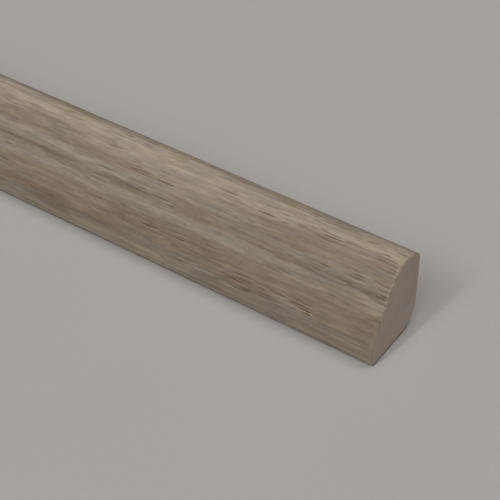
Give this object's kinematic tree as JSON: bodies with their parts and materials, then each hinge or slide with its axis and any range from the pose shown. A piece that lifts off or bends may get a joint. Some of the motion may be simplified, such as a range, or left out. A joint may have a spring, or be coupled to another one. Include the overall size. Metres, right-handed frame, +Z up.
{
  "type": "inside corner moulding",
  "caption": "Straight stick of wood-effect trim with a leaning convex face, rolled crown and bevelled back corner, for covering an inside corner.",
  "frame": {"origin": "middle of the stick's length and depth, on the floor that its bottom face rests on", "axes": "+X along the stick, +Y towards the wall that the back face sits against, +Z up"},
  "size_m": [2.388, 0.016, 0.0191],
  "materials": {
    "oak_finish": "satin greyed oak"
  },
  "bodies": {
    "root": {"corner_moulding": "oak_finish"}
  },
  "joints": []
}
